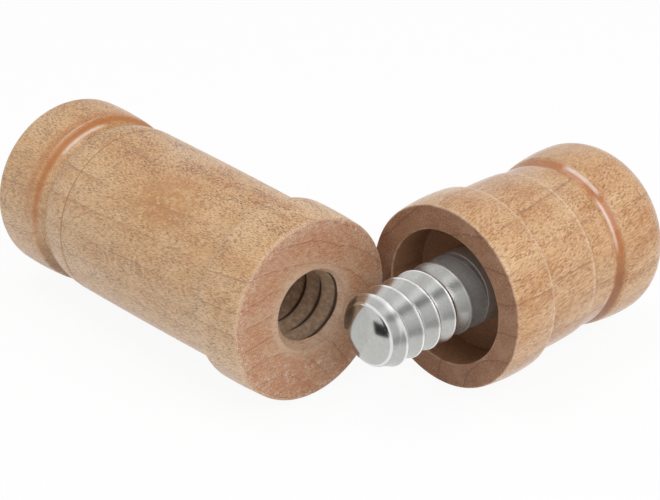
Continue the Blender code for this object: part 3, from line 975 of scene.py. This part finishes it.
def barrelWood(b, look):
    material, g = newMaterial("barrel maple")
    f = woodFields(g, look)
    station, radius = f["station"], f["radius"]
    colour, dash, fleck, line = longGrain(g, f, look)
    colour = flatSawnArcs(g, f, look, colour)
    colour, poolAndShade = barrelCove(g, f, b, look, colour)
    # painted highlight: a pale band where the body meets the front ring
    valley = stripeMask(g, f, b["ringWidth"], look["valley"])
    colour = g.mix(valley * look["ringValleyHighlight"], colour, look["highlightPale"])
    # painted shade: the V groove before the bead is darkened
    groove = g.band(station, b["grooveStart"] + 0.2, b["beadStart"] - 0.2, 0.15)
    colour = g.mix(groove * look["grooveShadeAmount"], colour, look["dash"])

    boreTop = thread["crest"] + thread["clearance"]
    cone = boreTop + thread["mouthFlare"]
    face, grit, turning = barrelFace(g, f, look)
    onFace = frontMask(g, f)
    countersink = g.step(radius + station, cone + 0.12, cone + 0.02) * g.step(station, 0.0, 0.1)
    countersink = countersink * g.step(radius, cone + 0.2, cone)
    colour = g.mix(g.maths("MAXIMUM", onFace, countersink), colour, face)
    outer = b["faceRadius"]
    # painted highlight: a pale line on the rounded edge of the face
    rimEdge = g.band(radius, outer - 0.75, outer + 0.1, 0.25) * g.step(station, 1.2, 0.3)
    colour = g.mix(rimEdge * look["faceRimHighlight"], colour, look["highlightPale"])

    # the bore: brown lands, with black painted shade only in the bottom of the thread
    inBore = g.step(radius + station, cone + 0.02, cone + 0.12) * g.step(station, *look["boreDeep"])
    inBore = inBore * g.step(radius, boreTop + 0.4, boreTop + 0.2)
    landTone = g.step(g.noise(f["place"], 0.7, 3.0, 0.7), 0.35, 0.7)
    land = g.mix(landTone, look["landDark"], look["landPale"])
    bottom = g.step(radius, boreTop - 0.34, boreTop - 0.12) * look["threadBottomShadeAmount"]
    colour = g.mix(inBore, colour, g.mix(bottom, land, look["threadBottomShade"]))

    raw = g.maths("MAXIMUM", onFace, inBore)
    sides = fleck * 0.3 - dash * 0.6 - line * 0.4
    finishWood(g, look, colour, poolAndShade, raw, sides + turning * onFace * 0.25 + grit * onFace * 0.5)
    return material


handleLook = {
    **maple,
    "pale": rgb(212, 172, 128),
    "honey": rgb(201, 152, 101),
    "amber": rgb(182, 122, 62),
    "dash": rgb(152, 94, 42),
    "dashAcross": 4.0,
    "dashAlong": 0.7,
    "dashAmount": 0.95,
    "fleckAmount": 0.3,
    "lean": -0.24,
    "seed": (5.0, 71.0, 17.0),
    "pith": (30.6, 25.7),
    "pithTilt": (-0.04, 0.03),
    "wander": 6.0,
    "ringSpacing": 8.5,
    "ringPhase": 0.6,
    "lineWidth": 0.22,
    "lineKept": 0.42,
    "lineAmount": 0.42,
    "hollow": (-2.8, -0.8, 0.5),
    "coveLow": 0.55,
    # painted highlights in and beside the cove
    "paintedHighlights": [((-1.5, -0.7, 0.25), (70, 0.95, 0.985)), ((-2.6, -2.0, 0.25), (34, 0.92, 0.98))],
    "paintedHighlightAmount": (0.35, 0.7),
    "shadedSide": (-45, 0.45, 0.85),
    "shadedAmount": 0.45,
    # painted highlight before each valley, and painted shade at its bottom
    "valleyHighlight": (-1.5, -0.6, 0.35),
    "valleyHighlightAmount": 0.3,
    "valleyShade": (-0.15, 0.3, 0.2),
    "valleyShadeAmount": 0.6,
    "endPale": rgb(184, 148, 120),
    "endTan": rgb(168, 126, 98),
    "endRust": rgb(150, 106, 78),
    "endLine": rgb(120, 80, 58),
    "turning": 0.6,
    "rimScuffs": 0.6,
    "recessDeep": (45, 40),
    "wallDark": rgb(140, 100, 72),
    "wallPale": rgb(166, 124, 92),
    "wallLines": 0.4,
    "rimEdgeHighlight": 0.4,
    "gloss": 0.34,
    "coat": 0.5,
    "relief": 0.6,
}


def handleWood(h, look):
    material, g = newMaterial("handle maple")
    f = woodFields(g, look)
    station, radius, place = f["station"], f["radius"], f["place"]
    colour, dash, fleck, line = longGrain(g, f, look)
    hollow, _, poolAndShade = coveFinish(g, f, h["pommelStart"], look)
    # the cove's deeper colour: partly pooled finish, partly painted shade
    colour = g.mix(poolAndShade * (look["coveLow"] + g.noise(place, 0.12, 2.0) * 0.5), colour, look["cove"])
    colour = paintedCoveHighlights(g, f, h["pommelStart"], look, colour)
    shaded = hollow * sideMask(g, f, look["shadedSide"]) * look["shadedAmount"]
    colour = g.mix(shaded, colour, look["line"])
    # a pale painted highlight before each valley, and a dark line of painted shade at its bottom
    for bottom in (h["ringWidth"] + 0.15, h["grooveStart"] + h["grooveWidth"] / 2):
        valleyHighlight = stripeMask(g, f, bottom, look["valleyHighlight"])
        colour = g.mix(valleyHighlight * look["valleyHighlightAmount"], colour, look["highlightPale"])
        valleyShade = stripeMask(g, f, bottom, look["valleyShade"])
        colour = g.mix(valleyShade * look["valleyShadeAmount"], colour, look["line"])

    # the rim and the recess are darker and unfinished, and their edges get a pale painted highlight
    endColour, grit = endGrain(g, f, look)
    onRim = frontMask(g, f)
    turning = g.maths("SINE", radius * (2 * math.pi / look["turning"]))
    scratches = g.step(g.noise(place, 0.8, 4.0, 0.8, 1.6), 0.6, 0.7)
    rim = g.mix(scratches * look["rimScuffs"], endColour, look["scuffAndHighlight"])
    colour = g.mix(onRim, colour, rim)
    inner, outer = h["recessRadius"], h["rimRadius"]
    inRecess = g.step(radius, inner + 0.12, inner + 0.02) * g.step(station, *look["recessDeep"])
    wall = g.mix(g.step(grit, 0.35, 0.7), look["wallDark"], look["wallPale"])
    colour = g.mix(inRecess, colour, g.mix(line * look["wallLines"], wall, look["line"]))
    # painted highlight: pale lines on the rim's inner and outer edges, broken up
    innerEdge = g.band(radius, inner + 0.05, inner + 0.35, 0.12) * g.step(station, 1.0, 0.4)
    outerEdge = g.band(radius, outer - 0.45, outer + 0.1, 0.2) * g.step(station, 1.2, 0.3)
    edges = g.maths("MAXIMUM", innerEdge, outerEdge)
    edges = edges * g.step(g.noise(place, 0.35, 3.0, 0.7), 0.35, 0.65)
    colour = g.mix(edges * look["rimEdgeHighlight"], colour, look["highlightPale"])

    raw = g.maths("MAXIMUM", onRim, inRecess)
    sides = fleck * 0.5 - dash * 0.7 - line * 0.4
    finishWood(g, look, colour, poolAndShade, raw, sides + turning * onRim * 0.25 + grit * onRim * 0.5)
    return material


screwSteel = {
    "colour": rgb(182, 182, 179),
    "roughness": 0.14,
    "smear": 0.14,  # how unevenly it is polished
    "metallic": 0.4,  # in the recess, from where it rises to 1
    "recessShade": 0.7,  # painted shade: how far the colour is darkened in the recess
    "flankRoughness": 0.12,  # of the thread, over the dome's
    "crestHighlightAmount": 0.75,  # how bright the painted highlight on the crests and the dome's rim is
    "domeRimHighlightAmount": 0.5,
}

collarSteel = {
    "colour": rgb(196, 194, 190),
    "roughness": 0.42,
    "smear": 0.12,
    "metallic": 0.5,
}


def screwFields(g, place, look, s, h):
    # the crests and the dome's rim, which get a painted highlight; the dome, which is
    # polished; and what lies out of the recess, where the steel gets no painted shade
    x, y, z = axes(g, place)
    radius = g.maths("SQRT", x * x + y * y)
    domeEdge = h["recessDepth"] + s["reach"]
    share = g.maths("MAXIMUM", (z - (domeEdge - s["taper"])) / s["taper"], 0.0)
    drop = g.maths("MINIMUM", share, 1.0) ** s["taperCurve"] * (thread["crest"] - s["domeRadius"])
    crest = thread["crest"] - drop
    threaded = g.step(z, domeEdge - 1.6, domeEdge - 2.8) * look["crestHighlightAmount"]
    rim = g.band(z, domeEdge - 0.35, domeEdge + 0.05, 0.12) * look["domeRimHighlightAmount"]
    paintedGlint = g.step(radius, crest - 0.22, crest - 0.07) * g.maths("MAXIMUM", threaded, rim)
    polished = g.step(z, domeEdge - 0.8, domeEdge)
    unshaded = g.step(z, h["recessDepth"] - 3, h["recessDepth"] + 6)
    return paintedGlint, polished, unshaded


def steelMaterial(name, look, worked=False):
    material, g = newMaterial(name)
    place = localPlace(g)
    cloud = g.noise(place, 0.25, 3.0, 0.6)
    dots = g.step(g.noise(place, 2.4, 2.0, 0.5), 0.7, 0.78)
    drawn = g.noise(place, 3.0, 3.0, 0.7, 0.0, (0.2, 0.2, 4.0))
    blotch = g.noise(place, 0.8, 5.0, 0.8, 0.6)
    tint = g.shade(look["colour"], 0.8 + cloud * 0.1 + blotch * 0.4 - dots * 0.4)
    smear = (cloud - 0.5) * look["smear"]
    rough = look["roughness"] + smear + dots * 0.25 + (drawn - 0.5) * look["smear"] * 0.5
    metallic = look["metallic"]
    if worked:
        paintedGlint, polished, unshaded = screwFields(g, place, look, screw, handle)
        # painted shade: the steel is darker and less metallic in the recess
        tint = g.shade(tint, look["recessShade"] + unshaded * (1 - look["recessShade"]))
        # painted highlight: the crests and the dome's rim are mixed towards white, less in the
        # recess
        tint = g.mix(paintedGlint * (0.3 + unshaded * 0.7), tint, (1, 1, 1, 1))
        rough = rough + look["flankRoughness"] - polished * look["flankRoughness"]
        metallic = unshaded * (1 - metallic) + metallic
    bump = g.bump(drawn * 0.3 - dots, 0.12, 0.05)
    g.principled({"Base Color": tint, "Metallic": metallic, "Roughness": rough, "Normal": bump})
    return material


def dress(piece, material):
    piece.data.materials.clear()
    piece.data.materials.append(material)


dress(turnedBarrel, barrelWood(barrel, barrelLook))
dress(turnedHandle, handleWood(handle, handleLook))
dress(threadedScrew, steelMaterial("polished steel", screwSteel, worked=True))
dress(screwCollar, steelMaterial("turned steel", collarSteel))
print("materials made:", len(bpy.data.materials))


camera = {
    "azimuth": 48.75,
    "elevation": 26.35,
    "roll": -0.3,
    "distance": 549.54,
    "lens": 98.68,  # on a 36 mm wide sensor
    "aim": (-61.7, 60.47),  # from the barrel's face, on the table
}


def makeCamera(c):
    a, e = math.radians(c["azimuth"]), math.radians(c["elevation"])
    back = Vector((math.sin(a) * math.cos(e), -math.cos(a) * math.cos(e), math.sin(e)))
    aim = Vector((barrelFront.x + c["aim"][0] * mm, barrelFront.y + c["aim"][1] * mm, 0))
    data = bpy.data.cameras.new("camera")
    data.lens = c["lens"]
    data.sensor_width = 36
    data.clip_start = 0.01
    item = added("camera", data)
    item.location = aim + back * c["distance"] * mm
    item.rotation_mode = "QUATERNION"
    level = (-back).to_track_quat("-Z", "Y")
    item.rotation_quaternion = level @ Quaternion((0, 0, 1), math.radians(c["roll"]))
    bpy.context.scene.camera = item


makeCamera(camera)


studio = {
    "worldStrength": 0.5,  # on the object; what it mirrors, and the background, are white
    "floorGlow": 0.93,
    "floorColour": (0.92, 0.92, 0.92, 1),
    "top": {"place": (-0.1, -0.12, 0.85), "size": (0.45, 0.5), "power": 1.9},
    "side": {"place": (0.62, 0.02, 0.5), "size": (0.8, 0.5), "power": 2.8},
    # corners are x, y and z, and the tent is about the screw's axis, with angles from level
    "cards": {
        "flag_before_the_tip": {
            "corners": [(30, -117, 34), (78, -117, 34), (78, -117, 2), (40, -117, 4)],
            "colour": (0.02, 0.02, 0.022, 1),
        },
        "tent_over_the_thread": {
            "radius": 62,
            "along": (-62, 8),
            "angles": (-70, 118),
            "rows": 12,
            "tone": 0.7,
            "dark": (38, 57, 7),  # where the room is seen: start, end and softness
            "darkAmount": 0.78,
            "wander": 16,  # degrees, of the dark patch's edge
            "bright": (61, 81, 8),
            "brightAmount": 0.4,
            "dim": (6, -10),
            "dimAmount": 0.2,
            "clouds": 0.4,
        },
        "fill_by_the_face": {
            "corners": [
                (34, -38, 1),
                (34, -38, 14),
                (34, -42, 20),
                (34, -47, 27),
                (34, -52, 37),
                (34, -78, 37),
                (34, -78, 1),
            ],
            "colour": (0.9, 0.9, 0.9, 1),
        },
    },
}


def makeLamp(name, look):
    data = bpy.data.lights.new(name, "AREA")
    data.shape = "RECTANGLE"
    data.size, data.size_y = look["size"]
    data.energy = look["power"]
    lamp = added(name, data)
    lamp.location = look["place"]
    lamp.rotation_mode = "QUATERNION"
    lamp.rotation_quaternion = (-Vector(look["place"])).to_track_quat("-Z", "Y")


def whiteRays(g):
    # the camera, mirrors and glass all see the white surroundings
    camera = g.node("ShaderNodeLightPath", {}, {}, "Is Camera Ray")
    outputs = camera.socket.node.outputs
    glossy = Wire(g, outputs["Is Glossy Ray"])
    through = Wire(g, outputs["Is Transmission Ray"])
    return g.maths("MAXIMUM", g.maths("MAXIMUM", camera, glossy), through)


def makeWorld(s):
    world = bpy.data.worlds.new("studio")
    bpy.context.scene.world = world
    world.use_nodes = True
    g = Graph(world.node_tree)
    seen = whiteRays(g)
    white = (1, 1, 1, 1)
    light = g.node("ShaderNodeBackground", {}, {"Color": white, "Strength": s["worldStrength"]})
    plain = g.node("ShaderNodeBackground", {}, {"Color": white, "Strength": 1.0})
    g.output(g.node("ShaderNodeMixShader", {}, {0: seen, 1: light, 2: plain}), "World")


def makeFloor(s):
    bm = bmesh.new()
    bmesh.ops.create_grid(bm, x_segments=4, y_segments=4, size=3.0)
    floor = placed("floor", bm, Matrix.Translation((0, 0, -0.1 * mm)))
    material, g = newMaterial("white sweep")
    seen = whiteRays(g)
    matt = g.node("ShaderNodeBsdfDiffuse", {}, {"Color": s["floorColour"]})
    white = g.node("ShaderNodeEmission", {}, {"Color": (1, 1, 1, 1), "Strength": 1.0})
    g.output(g.node("ShaderNodeMixShader", {}, {0: seen * s["floorGlow"], 1: matt, 2: white}))
    dress(floor, material)


def tent(look):
    # a strip bent round the screw's axis, which is nearly along Y
    bm = bmesh.new()
    start, end = look["angles"]
    rows = []
    for step in range(look["rows"] + 1):
        angle = math.radians(start + (end - start) * step / look["rows"])
        x, z = math.cos(angle) * look["radius"] * mm, math.sin(angle) * look["radius"] * mm
        rows.append([bm.verts.new((x, reach * mm, z)) for reach in look["along"]])
    for low, high in zip(rows, rows[1:]):
        bm.faces.new((low[0], low[1], high[1], high[0]))
    return bm


def tentTone(g, look):
    # brighter over the top, with one soft dark patch where the room is seen
    place = localPlace(g)
    x, y, z = axes(g, place)
    angle = g.maths("ARCTAN2", z, x) * (180 / math.pi)
    cloud = g.noise(place, 0.09, 3.0, 0.6) - 0.5
    dark = g.band(angle + cloud * look["wander"], *look["dark"]) * look["darkAmount"]
    bright = g.band(angle, *look["bright"]) * look["brightAmount"]
    dim = g.step(angle, *look["dim"]) * look["dimAmount"]
    tone = look["tone"] + bright - dim
    return g.grey(tone * (1.0 - dark) + cloud * look["clouds"])


def flat(look):
    bm = bmesh.new()
    bm.faces.new([bm.verts.new(Vector(corner) * mm) for corner in look["corners"]])
    return bm


def makeCards(s):
    # studio cards that only mirrors see: they throw no shadow and hide nothing
    for name, look in s["cards"].items():
        bent = "radius" in look
        place = Matrix.Translation(handleFace) if bent else Matrix()
        card = placed(name, tent(look) if bent else flat(look), place)
        for ray in ("camera", "diffuse", "shadow", "transmission"):
            setattr(card, "visible_" + ray, False)
        material, g = newMaterial(name)
        g.principled(
            {
                "Base Color": (0, 0, 0, 1),
                "Specular IOR Level": 0.0,
                "Emission Color": tentTone(g, look) if bent else look["colour"],
                "Emission Strength": 1.0,
            }
        )
        dress(card, material)


makeWorld(studio)
makeLamp("top softbox", studio["top"])
makeLamp("side softbox", studio["side"])
makeFloor(studio)
makeCards(studio)
bpy.context.scene.view_settings.view_transform = "Standard"
print("studio lit")
